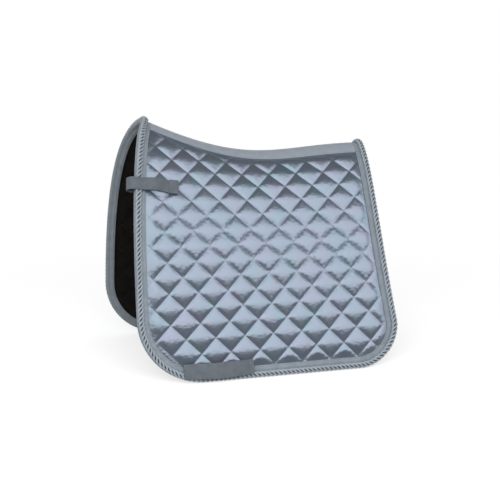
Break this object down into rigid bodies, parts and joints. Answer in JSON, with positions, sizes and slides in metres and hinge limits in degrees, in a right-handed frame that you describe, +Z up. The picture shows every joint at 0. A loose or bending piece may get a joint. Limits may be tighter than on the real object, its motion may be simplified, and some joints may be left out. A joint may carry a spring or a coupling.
{
  "type": "saddle pad",
  "caption": "Quilted saddle pad: padded satin flaps fold from a taped spine, with rope-trimmed edges, webbing girth loops and a hook-and-loop billet strap.",
  "frame": {"origin": "on the ground between the hems, midway between the pad's front and rear ends", "axes": "-X to the front (pommel) end, +X to the rear (cantle), -Y to the left flap, +Z up"},
  "size_m": [0.5865, 0.4898, 0.5445],
  "materials": {
    "satin": "glossy quilted satin",
    "wadding": "white fibre wadding",
    "lining": "matt black wicking lining",
    "binding": "grey woven binding",
    "rope": "twisted silky rope",
    "spine_tape": "smooth light satin tape",
    "webbing": "ribbed grey webbing",
    "hook_and_loop": "dark hook-and-loop fastener"
  },
  "bodies": {
    "spine": {"spine_seam": "wadding", "spine_tape": "spine_tape", "spine_lining_tape": "binding", "pommel_binding": "binding", "cantle_binding": "binding", "pommel_rope": "rope", "cantle_rope": "rope"},
    "left_flap": {"outer_satin_left": "satin", "wadding_left": "wadding", "lining_left": "lining", "edge_binding_left": "binding", "rope_trim_left": "rope", "girth_strap_left": "webbing", "billet_strap_left": "webbing", "strap_end_patch_left": "webbing", "loop_patch_left": "hook_and_loop"},
    "left_strap": {"billet_strap_tab_left": "webbing", "hook_patch_left": "hook_and_loop"},
    "right_flap": {"outer_satin_right": "satin", "wadding_right": "wadding", "lining_right": "lining", "edge_binding_right": "binding", "rope_trim_right": "rope", "girth_strap_right": "webbing"}
  },
  "joints": [
    {"name": "left_flap_fold", "type": "hinge", "parent": "spine", "child": "left_flap", "pos_m": [0.02825, -0.03222, 0.48775], "axis": [-0.9932, 0, 0.1161], "range_deg": [-22, 60], "deforming": ["spine_tape", "spine_lining_tape", "pommel_binding", "cantle_binding", "pommel_rope", "cantle_rope"]},
    {"name": "right_flap_fold", "type": "hinge", "parent": "spine", "child": "right_flap", "pos_m": [0.02825, 0.03222, 0.48775], "axis": [0.9932, 0, -0.1161], "range_deg": [-22, 60], "deforming": ["spine_tape", "spine_lining_tape", "pommel_binding", "cantle_binding", "pommel_rope", "cantle_rope"]},
    {"name": "left_strap_fold", "type": "hinge", "parent": "left_flap", "child": "left_strap", "pos_m": [-0.27956, -0.12085, 0.40283], "axis": [0.1096, 0.4078, 0.9064], "range_deg": [0, 120]}
  ]
}
